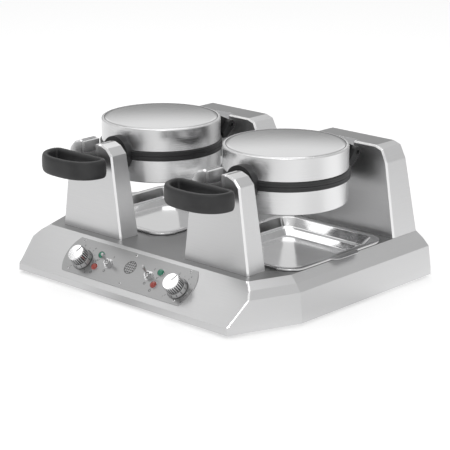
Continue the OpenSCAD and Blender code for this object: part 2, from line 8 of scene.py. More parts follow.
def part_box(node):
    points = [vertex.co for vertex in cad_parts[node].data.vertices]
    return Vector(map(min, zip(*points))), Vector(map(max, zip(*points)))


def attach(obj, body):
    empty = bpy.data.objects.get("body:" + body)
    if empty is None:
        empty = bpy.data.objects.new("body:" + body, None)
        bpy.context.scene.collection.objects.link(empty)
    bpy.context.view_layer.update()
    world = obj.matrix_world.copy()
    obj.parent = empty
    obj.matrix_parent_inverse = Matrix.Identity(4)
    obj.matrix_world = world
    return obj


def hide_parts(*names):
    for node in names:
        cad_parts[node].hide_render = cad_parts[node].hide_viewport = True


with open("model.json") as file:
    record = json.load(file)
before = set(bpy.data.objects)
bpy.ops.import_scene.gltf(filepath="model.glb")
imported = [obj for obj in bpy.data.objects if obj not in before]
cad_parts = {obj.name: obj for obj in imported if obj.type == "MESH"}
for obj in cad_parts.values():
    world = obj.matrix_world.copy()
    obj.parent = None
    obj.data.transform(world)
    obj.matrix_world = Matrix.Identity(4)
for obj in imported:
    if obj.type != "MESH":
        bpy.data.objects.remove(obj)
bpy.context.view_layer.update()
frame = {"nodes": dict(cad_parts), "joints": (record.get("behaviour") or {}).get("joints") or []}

joints = {j["name"]: j for j in frame["joints"]}
SIDES = (("left", -1), ("right", 1))
scene = bpy.context.scene
stack = scene.collection

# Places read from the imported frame
head_at = {n: Vector(joints[f"head_turn_{n}"]["pos_m"]) for n, _ in SIDES}
hinge_at = {n: Vector(joints[f"lid_open_{n}"]["pos_m"]) for n, _ in SIDES}
normal = Vector(joints["knob_turn_left"]["axis"]).normalized()
down_slope = Vector((0, -normal.z, normal.y))
deck_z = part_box("front_tower_left")[0].z
knob_at = {n: Vector(joints[f"knob_turn_{n}"]["pos_m"]) for n, _ in SIDES}
switch_x = {n: joints[f"switch_flip_{n}"]["pos_m"][0] for n, _ in SIDES}

# Places on the control face, down the slope from the deck edge and across
KNOB_S = 0.0477
SWITCH_S = 0.041
READY_S, POWER_S = 0.029, 0.054
LAMP_X = {"left": -0.082, "right": 0.0635}
PANEL_T = 0.0012


# ---------------------------------------------------------------- materials
def new_material(name):
    """A material with its node tree and its shader."""
    m = bpy.data.materials.new(name)
    m.use_nodes = True
    t = m.node_tree
    return m, t, t.nodes["Principled BSDF"]


def link(t, a, b):
    """Join an output to an input."""
    t.links.new(a, b)


def grain(t, scale, detail=4.0):
    """Noise stretched along the directions with a low scale, in metres of the row frame."""
    coord = t.nodes.new("ShaderNodeTexCoord")
    mapping = t.nodes.new("ShaderNodeMapping")
    mapping.inputs["Scale"].default_value = scale
    noise = t.nodes.new("ShaderNodeTexNoise")
    noise.inputs["Scale"].default_value = 1.0
    noise.inputs["Detail"].default_value = detail
    noise.inputs["Roughness"].default_value = 0.62
    link(t, coord.outputs["Object"], mapping.inputs["Vector"])
    link(t, mapping.outputs["Vector"], noise.inputs["Vector"])
    return noise.outputs["Fac"]


def ring_grain(t, centre, scale):
    """Turned grain: noise that changes with the distance from a vertical axis and with height."""
    coord = t.nodes.new("ShaderNodeTexCoord")
    shift = t.nodes.new("ShaderNodeVectorMath")
    shift.operation = "SUBTRACT"
    shift.inputs[1].default_value = (centre[0], centre[1], 0)
    flat = t.nodes.new("ShaderNodeVectorMath")
    flat.operation = "MULTIPLY"
    flat.inputs[1].default_value = (1, 1, 0)
    size = t.nodes.new("ShaderNodeVectorMath")
    size.operation = "LENGTH"
    split = t.nodes.new("ShaderNodeSeparateXYZ")
    join = t.nodes.new("ShaderNodeCombineXYZ")
    noise = t.nodes.new("ShaderNodeTexNoise")
    noise.inputs["Scale"].default_value = scale
    noise.inputs["Detail"].default_value = 3.0
    link(t, coord.outputs["Object"], shift.inputs[0])
    link(t, shift.outputs[0], flat.inputs[0])
    link(t, flat.outputs[0], size.inputs[0])
    link(t, coord.outputs["Object"], split.inputs[0])
    link(t, size.outputs["Value"], join.inputs["X"])
    link(t, split.outputs["Z"], join.inputs["Z"])
    link(t, join.outputs[0], noise.inputs["Vector"])
    return noise.outputs["Fac"]


def span(t, fac, low, high):
    """Map the middle of a 0 to 1 value onto low to high."""
    r = t.nodes.new("ShaderNodeMapRange")
    r.inputs["From Min"].default_value = 0.3
    r.inputs["From Max"].default_value = 0.7
    r.inputs["To Min"].default_value = low
    r.inputs["To Max"].default_value = high
    link(t, fac, r.inputs["Value"])
    return r.outputs["Result"]


def tint(t, fac, a, b):
    """Mix two colours by a 0 to 1 value."""
    r = t.nodes.new("ShaderNodeValToRGB")
    r.color_ramp.elements[0].position = 0.32
    r.color_ramp.elements[1].position = 0.68
    r.color_ramp.elements[0].color = (*a, 1)
    r.color_ramp.elements[1].color = (*b, 1)
    link(t, fac, r.inputs["Fac"])
    return r.outputs["Color"]


def bump(t, bsdf, fac, strength, distance):
    """Let a value raise and lower the surface."""
    b = t.nodes.new("ShaderNodeBump")
    b.inputs["Strength"].default_value = strength
    b.inputs["Distance"].default_value = distance
    link(t, fac, b.inputs["Height"])
    link(t, b.outputs["Normal"], bsdf.inputs["Normal"])


def metal(name, tone, rough, scale, spread=0.05, aniso=0.0, bumpy=0.12, centre=None):
    """Bare metal. Its grain runs along the low scales, or in rings about a centre."""
    m, t, p = new_material(name)
    g = grain(t, scale) if centre is None else ring_grain(t, centre, 900.0)
    blotch = grain(t, (9, 9, 9), 2.0)
    mix = t.nodes.new("ShaderNodeMath")
    mix.operation = "MULTIPLY_ADD"
    mix.inputs[1].default_value = 0.25
    link(t, blotch, mix.inputs[0])
    half = t.nodes.new("ShaderNodeMath")
    half.operation = "MULTIPLY"
    half.inputs[1].default_value = 0.75
    link(t, g, half.inputs[0])
    link(t, half.outputs[0], mix.inputs[2])
    f = mix.outputs[0]
    dark = [c - spread for c in tone]
    light = [min(1, c + spread) for c in tone]
    link(t, tint(t, f, dark, light), p.inputs["Base Color"])
    link(t, span(t, f, rough - 0.06, rough + 0.06), p.inputs["Roughness"])
    p.inputs["Metallic"].default_value = 1.0
    if aniso:
        p.inputs["Anisotropic"].default_value = aniso
        tangent = t.nodes.new("ShaderNodeTangent")
        tangent.direction_type = "RADIAL"
        tangent.axis = "Z"
        link(t, tangent.outputs[0], p.inputs["Tangent"])
    bump(t, p, g, bumpy, 0.0002)
    return m


def dielectric(name, dark, light, rough, scale, bumpy=0.3):
    """Plastic, rubber or paint with a fine grain and slow changes of tone."""
    m, t, p = new_material(name)
    g = grain(t, scale, 6.0)
    wear = grain(t, (25, 25, 25), 3.0)
    link(t, tint(t, wear, dark, light), p.inputs["Base Color"])
    link(t, span(t, g, rough - 0.07, rough + 0.08), p.inputs["Roughness"])
    p.inputs["IOR"].default_value = 1.5
    bump(t, p, g, bumpy, 0.0003)
    return m


def glow_lens(name, colour, painted_rim_shade):
    """A coloured lamp lens, painted darker towards its rim by viewing angle: painted shade."""
    m, t, p = new_material(name)
    g = grain(t, (900, 900, 900), 1.0)
    rim = t.nodes.new("ShaderNodeLayerWeight")
    rim.inputs["Blend"].default_value = 0.35
    link(t, tint(t, rim.outputs["Facing"], colour, painted_rim_shade), p.inputs["Base Color"])
    link(t, span(t, g, 0.08, 0.16), p.inputs["Roughness"])
    p.inputs["Coat Weight"].default_value = 1.0
    p.inputs["Coat Roughness"].default_value = 0.03
    p.inputs["Subsurface Weight"].default_value = 0.1
    p.inputs["Subsurface Radius"].default_value = (0.004, 0.004, 0.004)
    return m


def grey(v):
    """A neutral tone with a trace of blue."""
    return v, v, v * 1.005


M = {
    # The deck material's darker tone is painted shade: the level deck and the tower tops take it in place of
    # the sheet's tone.
    "deck": metal("deck_painted_shade", grey(0.39), 0.38, (22, 1500, 1500), 0.02, bumpy=0.05),
    "sheet": metal("brushed_sheet", grey(0.71), 0.36, (22, 1500, 1500), 0.025, bumpy=0.06),
    "tower": metal("brushed_tower", grey(0.77), 0.36, (22, 22, 1500), 0.025, bumpy=0.06),
    "cradle": metal("cast_cradle", grey(0.95), 0.35, (200, 200, 900), 0.02, bumpy=0.05),
    # The near-black material is painted shade in the lid groove; on the knobs it is the dark neck, the knurl
    # grooves and the printed ticks.
    "dark": metal("dark_tone_print_and_painted_shade", grey(0.10), 0.45, (700, 700, 700), 0.03, bumpy=0.2),
    "plated": metal("nickel_plate", grey(0.62), 0.13, (500, 500, 500), 0.04, bumpy=0.05),
    # The bright bevel material is a painted highlight: the rounded edges of the base corners, tower fronts,
    # panel and cradles take it.
    "edge": metal("bevel_painted_highlight", grey(0.97), 0.22, (300, 300, 300), 0.02, bumpy=0.05),
    "panel": metal("brushed_panel", grey(0.44), 0.34, (30, 1700, 1700), 0.025, bumpy=0.06),
    "bright": metal("bright_plated", grey(0.82), 0.16, (400, 400, 400), 0.03, bumpy=0.05),
    "tray": metal("polished_tray", grey(0.74), 0.11, (14, 260, 260), 0.03, bumpy=0.06),
    "grid": metal("coated_iron", (0.07, 0.07, 0.072), 0.45, (700, 700, 700), 0.02, bumpy=0.4),
    "element": metal("scaled_sheath", (0.22, 0.19, 0.16), 0.5, (300, 300, 300), 0.06, bumpy=0.4),
    "bronze": metal("oiled_bronze", (0.60, 0.45, 0.25), 0.35, (300, 300, 300), 0.05, bumpy=0.2),
    "alloy": metal("plain_alloy", grey(0.62), 0.42, (500, 500, 60), 0.05),
    "face": metal("polished_face", grey(0.97), 0.08, (800, 800, 800), 0.015, bumpy=0.02),
    "grip": metal("knurled_grip", grey(0.50), 0.40, (900, 900, 900), 0.04, bumpy=0.1),
    "plastic": dielectric("black_plastic", (0.020, 0.020, 0.021), (0.032, 0.032, 0.033), 0.42,
                          (1600, 1600, 1600)),
    "casting": dielectric("black_casting", (0.014, 0.014, 0.015), (0.024, 0.024, 0.025), 0.50,
                          (900, 900, 900), 0.5),
    "rubber": dielectric("rubber", (0.016, 0.016, 0.016), (0.028, 0.028, 0.028), 0.78,
                         (1200, 1200, 1200), 0.5),
    "board": dielectric("circuit_board", (0.02, 0.14, 0.06), (0.03, 0.22, 0.10), 0.3, (500, 500, 500)),
    # The white recess material is painted light: it lightens the wall of the rear tower recess, which lies in
    # shade under the head.
    "recess_painted_light": dielectric("recess_wall_painted_light", (0.86, 0.86, 0.87), (0.93, 0.93, 0.94), 0.40, (900, 900, 900)),
    "cream": dielectric("terminal_plastic", (0.60, 0.58, 0.50), (0.70, 0.68, 0.60), 0.45, (900, 900, 900)),
    # The ink is print on the panel and knobs, and also painted shade for the screws' cross recesses.
    "ink": dielectric("print_and_painted_recess_shade", (0.018, 0.018, 0.018), (0.035, 0.035, 0.035), 0.5, (2500, 2500, 2500)),
    "green": glow_lens("green_lens", (0.014, 0.210, 0.125), (0.002, 0.030, 0.020)),
    "red": glow_lens("red_lens", (0.340, 0.035, 0.022), (0.060, 0.006, 0.004)),
}
for n, _ in SIDES:
    M["wall_" + n] = metal("drawn_wall_" + n, grey(0.84), 0.24, (12, 12, 2600), 0.012, 0.8, bumpy=0.01)
    M["lid_" + n] = metal("turned_lid_" + n, grey(0.89), 0.13, None, 0.015, bumpy=0.02, centre=head_at[n])


# ---------------------------------------------------------------- mesh tools
def finish_mesh(name, bm, mat, body, replaces=(), smooth=35, mats=None):
    """Make an object of a mesh, with its materials and body, and hide the nodes it stands for."""
    me = bpy.data.meshes.new(name)
    bmesh.ops.recalc_face_normals(bm, faces=bm.faces)
    bm.to_mesh(me)
    bm.free()
    o = bpy.data.objects.new(name, me)
    stack.objects.link(o)
    for m in (mats or [mat]):
        me.materials.append(m)
    for f in me.polygons:
        f.use_smooth = True
    mark_sharp(me, smooth)
    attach(o, body)
    if replaces:
        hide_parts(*replaces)
    return o


def mark_sharp(me, degrees):
    """Shade smoothly except over edges that are bent by more than an angle."""
    bm = bmesh.new()
    bm.from_mesh(me)
    limit = math.radians(degrees)
    for e in bm.edges:
        e.smooth = not (len(e.link_faces) != 2 or e.calc_face_angle(0) > limit)
    bm.to_mesh(me)
    bm.free()


def applied(o):
    """Replace an object's mesh by its modified mesh."""
    dg = bpy.context.evaluated_depsgraph_get()
    me = bpy.data.meshes.new_from_object(o.evaluated_get(dg))
    old = o.data
    o.modifiers.clear()
    o.data = me
    bpy.data.meshes.remove(old)
    return o


BENT = math.radians(28)


def weighted_edges(me, weight):
    """Give each bent edge its share of the bevel width."""
    bm = bmesh.new()
    bm.from_mesh(me)
    layer = bm.edges.layers.float.new("bevel_weight_edge")
    for e in bm.edges:
        if len(e.link_faces) == 2 and e.calc_face_angle(0) > BENT:
            e[layer] = weight(e)
    bm.to_mesh(me)
    bm.free()


def bevelled(o, width, segments=2, material=-1, sharp=35, weight=None):
    """Round the bent edges, or only those of them that weight picks."""
    b = o.modifiers.new("bevel", "BEVEL")
    b.width = width
    b.segments = segments
    b.limit_method = "WEIGHT" if weight else "ANGLE"
    if weight:
        weighted_edges(o.data, weight)
    b.angle_limit = BENT
    b.use_clamp_overlap = weight is None
    b.material = material
    b.miter_outer = "MITER_ARC"
    applied(o)
    mark_sharp(o.data, sharp)
    w = o.modifiers.new("even", "WEIGHTED_NORMAL")
    w.mode = "FACE_AREA"
    w.weight = 100
    w.keep_sharp = True
    applied(o)
    return o


def skin(name, node, body, slot, mats, width=0.0004, segments=2, edge=-1, pick=None, sharp=35,
         weight=None):
    """A piece with the exact shape of a CAD node, its edges softened."""
    bm = bmesh.new()
    bm.from_mesh(frame["nodes"][node].data)
    bmesh.ops.remove_doubles(bm, verts=bm.verts, dist=2e-6)
    bmesh.ops.dissolve_limit(bm, angle_limit=math.radians(0.6), verts=bm.verts, edges=bm.edges)
    if weight:
        bmesh.ops.triangulate(bm, faces=[f for f in bm.faces if len(f.verts) > 12])
    bm.normal_update()
    for f in bm.faces:
        f.material_index = pick(f) if pick else 0
    o = finish_mesh(name, bm, None, body, (node,), mats=mats, smooth=sharp)
    if width:
        bevelled(o, width, segments, edge, sharp, weight)
    return o


def lathe(name, outline, centre, axis, mat, body, replaces=(), seg=128, mats=None, pick=None,
          smooth=35):
    """Turn an outline of (radius, height) points round an axis. Radius 0 at an end closes it."""
    bm = bmesh.new()
    z = Vector(axis).normalized()
    x = z.orthogonal().normalized()
    y = z.cross(x)
    rings = []
    for r, h in outline:
        if r < 1e-7:
            rings.append([bm.verts.new(centre + z * h)])
        else:
            rings.append([bm.verts.new(centre + z * h + (x * math.cos(a) + y * math.sin(a)) * r)
                          for a in (2 * math.pi * i / seg for i in range(seg))])
    for k in range(len(rings) - 1):
        a, b = rings[k], rings[k + 1]
        for i in range(seg):
            j = (i + 1) % seg
            vs = [a[0] if len(a) == 1 else a[i], a[0] if len(a) == 1 else a[j],
                  b[0] if len(b) == 1 else b[j], b[0] if len(b) == 1 else b[i]]
            unique = []
            for v in vs:
                if v not in unique:
                    unique.append(v)
            if len(unique) > 2:
                f = bm.faces.new(unique)
                f.material_index = pick(k) if pick else 0
    return finish_mesh(name, bm, mat, body, replaces, smooth, mats)


def arc(degrees, rx, ry, x=0.0, y=0.0):
    """Points of an ellipse about (x, y) at the given angles."""
    return [(x + rx * math.cos(math.radians(d)), y + ry * math.sin(math.radians(d))) for d in degrees]


def eased(points, radii, steps=5, closed=False):
    """Round the corners of a 2D polyline, each with its own radius or all with one."""
    out = []
    n = len(points)
    for i, p in enumerate(points):
        r = radii[i] if isinstance(radii, (list, tuple)) else radii
        if r <= 0 or (not closed and i in (0, n - 1)):
            out.append(tuple(p))
            continue
        p = Vector((p[0], p[1]))
        a = Vector(points[i - 1][:2]) - p
        b = Vector(points[(i + 1) % n][:2]) - p
        la, lb = a.length, b.length
        a.normalize()
        b.normalize()
        half = a.angle(b) / 2
        if half > math.radians(89.5):
            out.append(tuple(p))
            continue
        d = min(r / math.tan(half), la * 0.49, lb * 0.49)
        rr = d * math.tan(half)
        c = p + (a + b).normalized() * (rr / math.sin(half))
        s, e = p + a * d - c, p + b * d - c
        turn = s.angle_signed(e)
        for k in range(steps + 1):
            w = -turn * k / steps
            x = c.x + s.x * math.cos(w) - s.y * math.sin(w)
            y = c.y + s.x * math.sin(w) + s.y * math.cos(w)
            out.append((x, y))
    return out


def loft(name, loops, mat, body, replaces=(), cap_start=False, cap_end=False, closed=False,
         smooth=35, mats=None, pick=None):
    """Join loops of equal point counts by quads."""
    bm = bmesh.new()
    rows = [[bm.verts.new(p) for p in loop] for loop in loops]
    n = len(rows[0])
    count = len(rows) if closed else len(rows) - 1
    for k in range(count):
        a, b = rows[k], rows[(k + 1) % len(rows)]
        for i in range(n):
            j = (i + 1) % n
            f = bm.faces.new((a[i], a[j], b[j], b[i]))
            f.material_index = pick(k, i) if pick else 0
    if cap_start:
        bm.faces.new(rows[0])
    if cap_end:
        bm.faces.new(rows[-1])
    return finish_mesh(name, bm, mat, body, replaces, smooth, mats)


slope_origin = Vector((0, knob_at["left"].y, knob_at["left"].z)) - down_slope * KNOB_S
panel_basis = Matrix((Vector((1, 0, 0)), -down_slope, normal)).transposed()


def on_panel(x, s, h=0.0):
    """A point on the control face: x across, s down the slope from the deck edge, h above it."""
    return slope_origin + Vector((x, 0, 0)) + down_slope * s + normal * h


def merged(name, parts, body, replaces=()):
    """Join several pieces into one object."""
    bm = bmesh.new()
    materials = []
    for o in parts:
        base = len(materials)
        materials += list(o.data.materials)
        me = o.data.copy()
        me.transform(o.matrix_world)
        for f in me.polygons:
            f.material_index += base
        bm.from_mesh(me)
        bpy.data.meshes.remove(me)
    me = bpy.data.meshes.new(name)
    bm.to_mesh(me)
    bm.free()
    for m in materials:
        me.materials.append(m)
    o = bpy.data.objects.new(name, me)
    stack.objects.link(o)
    for p in parts:
        bpy.data.objects.remove(p)
    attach(o, body)
    if replaces:
        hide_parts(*replaces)
    return o


def prism(name, outline, low, high, place, mat, body, bevel=0.0):
    """A flat outline, thickened between two heights. place turns (x, y, height) into a point."""
    bm = bmesh.new()
    a = [bm.verts.new(place(x, y, low)) for x, y in outline]
    b = [bm.verts.new(place(x, y, high)) for x, y in outline]
    n = len(a)
    for i in range(n):
        bm.faces.new((a[i], a[(i + 1) % n], b[(i + 1) % n], b[i]))
    bm.faces.new(a)
    bm.faces.new(b)
    o = finish_mesh(name, bm, mat, body)
    if bevel:
        bevelled(o, bevel)
    return o


def pan_head(centre, r, h):
    """A panel screw's head of radius r and height h, with a dark cross laid over its dip: painted shade
    standing for the cross recess.
    """
    outline = [(0, h * 0.2), (r * 0.28, h * 0.35), (r * 0.42, h * 0.97), (r * 0.62, h * 0.98),
               (r * 0.86, h * 0.72), (r, h * 0.3), (r, 0), (0, 0)]
    parts = [lathe("screw", outline, centre, normal, M["bright"], "base", seg=24)]

    def place(x, y, z):
        return centre + panel_basis @ Vector((x, y, z))

    long, short = r * 0.55, r * 0.16
    for w, l in ((long, short), (short, long)):
        arm = [(-w, -l), (w, -l), (w, l), (-w, l)]
        parts.append(prism("screw_x", arm, h * 0.93, h, place, M["ink"], "base"))
    return parts


# ---------------------------------------------------------------- base and towers
FRONT_Y, CORNER_X, LIP_Z = -0.18, 0.2, 0.02


def base_skin(name, node, mats, slot, **more):
    """The skin of a node of the base, with its materials by name."""
    return skin(name, node, "base", slot, [M[m] for m in mats], **more)


def front_corner(e):
    """The edges between the front faces and the cut corners take a wide bevel."""
    a, b = (f.normal for f in e.link_faces)
    mid = (e.verts[0].co + e.verts[1].co) / 2
    near = mid.y < FRONT_Y and abs(mid.x) > CORNER_X and mid.z > LIP_Z
    return 1.0 if near and abs(a.x - b.x) > 0.45 and e.calc_length() > 0.008 else 0.0


def deck_part(f):
    """2 for the level deck, which takes the darker deck material as painted shade; 0 for all other faces."""
    return 2 if f.normal.z > 0.99 and f.calc_center_median().z > deck_z - 0.0005 else 0


def on_front_corner(f):
    """The narrow faces that the wide bevel leaves on the front corners."""
    near = f.center.y < FRONT_Y and abs(f.center.x) > CORNER_X
    return f.area < 2e-4 and near and abs(f.normal.x) > 0.12 and f.normal.y < -0.3 and f.normal.z > -0.2


base = base_skin("base_skin", "base_shell", ("sheet", "edge", "deck"), "brushed_steel", width=0.0024,
                 segments=3, edge=0, sharp=9, weight=front_corner, pick=deck_part)
bevelled(base, 0.0004, sharp=9)
# The narrow front-corner faces take the bright bevel material as a painted highlight along the folds.
for f in base.data.polygons:
    if on_front_corner(f):
        f.material_index = 1
base_skin("bottom_skin", "bottom_plate", ("sheet",), "brushed_steel", width=0.0003)
base_skin("panel_skin", "control_panel", ("panel", "edge"), "panel_steel", width=0.0003, edge=1)
base_skin("feet_skin", "rubber_feet", ("rubber",), "rubber", width=0.0008, segments=3)
base_skin("foot_screw_skin", "foot_screws", ("bright",), "bright_metal", width=0.0002)
base_skin("cover_skin", "rear_covers", ("sheet",), "brushed_steel", width=0.0003)
base_skin("cover_screw_skin", "cover_screws", ("bright",), "bright_metal", width=0.0002)
base_skin("cradle_skin", "front_cradles", ("cradle", "edge"), "bright_metal", width=0.0007, segments=3,
          edge=1)
base_skin("bearing_skin", "rear_bearings", ("bronze",), "bronze", width=0.0004)
base_skin("gland_skin", "cord_gland", ("plastic",), "black_plastic", width=0.0005, segments=3)
base_skin("board_skin", "control_board", ("board",), "circuit_board", width=0.0003)
base_skin("terminal_skin", "terminal_block", ("cream",), "terminal_plastic", width=0.0005)
base_skin("switch_skin", "switch_bodies", ("plated",), "bright_metal", width=0.0002)
base_skin("nut_skin", "switch_nuts", ("plated",), "bright_metal", width=0.0004, segments=3)
base_skin("thermostat_skin", "thermostats", ("alloy",), "thermostat_metal", width=0.0004)


def tower_part(f, x):
    """1 for the bevel round the front (bright, a painted highlight), 2 for the wall in the rear recess
    (white, painted light), 3 for the flat top (darker, painted shade), else 0.
    """
    at = f.calc_center_median()
    if -0.9 < f.normal.y < -0.4 and f.calc_area() < 0.004 and abs(f.normal.z) < 0.8:
        return 1
    if f.normal.z > 0.97 and at.z > 0.2:
        return 3
    return 2 if abs(at.x - x) < 0.0235 and 0.178 < at.y < 0.195 and at.z > 0.19 else 0


for n, _ in SIDES:
    for tower in ("front_tower", "rear_tower"):
        base_skin(f"{tower}_skin_{n}", f"{tower}_{n}", ("tower", "edge", "recess_painted_light", "deck"), "brushed_steel",
                  width=0.0003, pick=lambda f, x=head_at[n].x: tower_part(f, x), sharp=14)

# Panel screws, their cross recesses shown as painted shade
lo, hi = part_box("control_panel")
panel_mid = (lo.x + hi.x) / 2
screws = []
for dx in (-0.130, 0, 0.130):
    for s in (0.012, 0.070):
        screws += pan_head(on_panel(panel_mid + dx, s, PANEL_T), 0.0026, 0.0015)
merged("panel_screw_heads", screws, "base", ("panel_screws",))

# Lamps: a domed lens in a thin bezel
LENS_R, LENS_H, SEAT_R = 0.0066, 0.0061, 0.0062
dome = [(0, -0.004), (SEAT_R, -0.004)] + arc(range(0, 90, 7), LENS_R, LENS_H) + [(0, LENS_H)]
rim = eased([(SEAT_R, -0.0005), (0.0072, -0.0005), (0.0072, 0.0004), (0.0068, 0.0008), (SEAT_R, 0.0008)],
            [0, 0.0001, 0.0002, 0.0002, 0], 3)
for kind, s, colour in (("ready", READY_S, "green"), ("power", POWER_S, "red")):
    parts = []
    for n, _ in SIDES:
        at = on_panel(LAMP_X[n], s, PANEL_T)
        parts.append(lathe("lens", dome, at, normal, M[colour], "base", seg=48))
        parts.append(lathe("bezel", rim + [rim[0]], at, normal, M["plated"], "base", seg=48))
    merged(kind + "_lamp_lenses", parts, "base", (kind + "_lamps",))


# ---------------------------------------------------------------- printed marks on the panel
def turned(angle):
    """A turn about the third axis, in degrees."""
    return Matrix.Rotation(math.radians(angle), 3, "Z")


def mark(outline, x, s, angle=0.0):
    """A flat printed shape on the panel."""
    centre = on_panel(x, s, PANEL_T)
    spin = panel_basis @ turned(angle)

    def place(u, v, w):
        return centre + spin @ Vector((u, v, w))

    return prism("mark", outline, -0.0001, 0.00003, place, M["ink"], "base")


def digit(text, x, s, size):
    """A printed digit, made from Blender's own font."""
    c = bpy.data.curves.new("digit", "FONT")
    c.body = text
    c.size = size
    c.align_x = "CENTER"
    c.align_y = "CENTER"
    c.extrude = 0.00002
    o = bpy.data.objects.new("digit", c)
    stack.objects.link(o)
    me = bpy.data.meshes.new_from_object(o.evaluated_get(bpy.context.evaluated_depsgraph_get()))
    bpy.data.objects.remove(o)
    me.transform(Matrix.Translation(on_panel(x, s, PANEL_T + 0.00002)) @ panel_basis.to_4x4())
    o = bpy.data.objects.new("digit", me)
    stack.objects.link(o)
    me.materials.clear()
    me.materials.append(M["ink"])
    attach(o, "base")
    return o


def ring_mark(x, s, r, w, gap=0.0, steps=24):
    """A thin ring, open by gap degrees at its top."""
    angles = [90 + gap / 2 + (360 - gap) * i / steps for i in range(steps + 1)]
    inner, outer = arc(angles, r - w, r - w), arc(angles, r, r)
    return [mark([outer[i], outer[i + 1], inner[i + 1], inner[i]], x, s) for i in range(steps)]


def bar(w, h):
    """A rectangle about its middle."""
    return [(-w / 2, -h / 2), (w / 2, -h / 2), (w / 2, h / 2), (-w / 2, h / 2)]


# Dials: a tick for every half step and a digit for every whole one
TICK_R, DIGIT_R, DIGIT_H, LINE = 0.0245, 0.0300, 0.0056, 0.0009
marks = []
for n, _ in SIDES:
    x = knob_at[n].x
    for i in range(11):
        a = math.radians(135 - 27 * i)
        whole = i % 2 == 0
        tick = bar(0.0008, 0.0030 if whole else 0.0018)
        marks.append(mark(tick, x - TICK_R * math.sin(a), KNOB_S - TICK_R * math.cos(a), math.degrees(a)))
        if whole:
            middle = (x - DIGIT_R * math.sin(a), KNOB_S - DIGIT_R * math.cos(a))
            marks.append(digit(str(i // 2 + 1), *middle, DIGIT_H))

# Signs: bar and ring at each switch, a broken ring with a bar and a check mark at the lamps
for n, _ in SIDES:
    x = switch_x[n]
    marks.append(mark(bar(0.0010, 0.0042), x + 0.0035, SWITCH_S - 0.0145))
    marks += ring_mark(x - 0.0010, SWITCH_S + 0.0150, 0.0024, LINE)
    x = LAMP_X[n]
    marks += ring_mark(x - 0.0015, POWER_S + 0.0115, 0.0025, LINE, 70)
    marks.append(mark(bar(LINE, 0.0028), x - 0.0015, POWER_S + 0.0093))
    marks.append(mark(bar(LINE, 0.0026), x - 0.0030, READY_S + 0.0114, 40))
    marks.append(mark(bar(LINE, 0.0048), x - 0.0006, READY_S + 0.0106, -35))

# Pictogram: a round waffle in the middle
WAFFLE_X, WAFFLE_S, WAFFLE_R, WAFFLE_STEP = -0.006, 0.036, 0.0127, 0.0045
marks += ring_mark(WAFFLE_X, WAFFLE_S, WAFFLE_R, 0.0010, steps=48)
for i in range(-2, 3):
    shift = i * WAFFLE_STEP
    length = 2 * math.sqrt((WAFFLE_R - 0.0008) ** 2 - shift ** 2)
    marks.append(mark(bar(LINE, length), WAFFLE_X + shift, WAFFLE_S))
    marks.append(mark(bar(length, LINE), WAFFLE_X, WAFFLE_S + shift))
merged("panel_marks", marks, "base")


# ---------------------------------------------------------------- drip trays
TRAY_HALF_W, TRAY_CORNER = 0.119, 0.034


def tray_loop(cx, front, back, inset, z):
    """The tray's outline at height z, with round corners, drawn in by inset."""
    r = max(TRAY_CORNER - 0.6 * inset, 0.006)
    left, right = cx - TRAY_HALF_W + inset + r, cx + TRAY_HALF_W - inset - r
    near, far = front + inset + r, back - inset - r
    pts = []
    for px, py, first in ((right, far, 0), (left, far, 90), (left, near, 180), (right, near, 270)):
        pts += [Vector((u, v, z)) for u, v in arc([first + 7.5 * k for k in range(13)], r, r, px, py)]
    return pts


def tray_pan(n):
    """The pan: a folded rim, a step half way down and the floor. Returns the rim's height."""
    lo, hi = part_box("drip_tray_" + n)
    path = eased([(0.0022, -0.0040), (0.0002, -0.0038), (0.0, 0.0), (0.0112, 0.0), (0.0240, -0.0145),
                  (0.0325, -0.0149), (0.0450, -0.0238), (0.060, -0.0240)],
                 [0, 0.0009, 0.0024, 0.0024, 0.0045, 0.0026, 0.0060, 0], 6)
    loops = [tray_loop(head_at[n].x, lo.y, hi.y, inset, hi.z + z) for inset, z in path]
    tray = loft("tray_pan_" + n, loops, M["tray"], "tray_" + n, ("drip_tray_" + n,),
                cap_end=True, smooth=50)
    thick = tray.modifiers.new("thick", "SOLIDIFY")
    thick.thickness = 0.0009
    thick.offset = -1
    applied(tray)
    mark_sharp(tray.data, 50)
    return hi.z


def tray_tab(n, side, top):
    """The pull tab on the outer side of a tray."""
    x = head_at[n].x + side * (TRAY_HALF_W - 0.0025)
    y = head_at[n].y + 0.016
    outline = eased([(0, -0.040), (0.004, -0.036), (0.0145, -0.026), (0.0145, 0.026), (0.004, 0.036),
                     (0, 0.040)], [0, 0.006, 0.007, 0.007, 0.006, 0], 6)

    def place(u, v, w):
        return Vector((x + side * u, y + v, w))

    prism("tray_tab_" + n, outline, top - 0.0016, top - 0.0004, place, M["tray"], "tray_" + n,
          bevel=0.0004)


for n, side in SIDES:
    rim_height = tray_pan(n)
    tray_tab(n, side, rim_height)


# ---------------------------------------------------------------- heads
CUP_R, BAND_R, LIP_R = 0.1090, 0.1120, 0.0907
BAND_TOP, BAND_SEAT, CUP_TOP = 0.0081, 0.0048, 0.0492


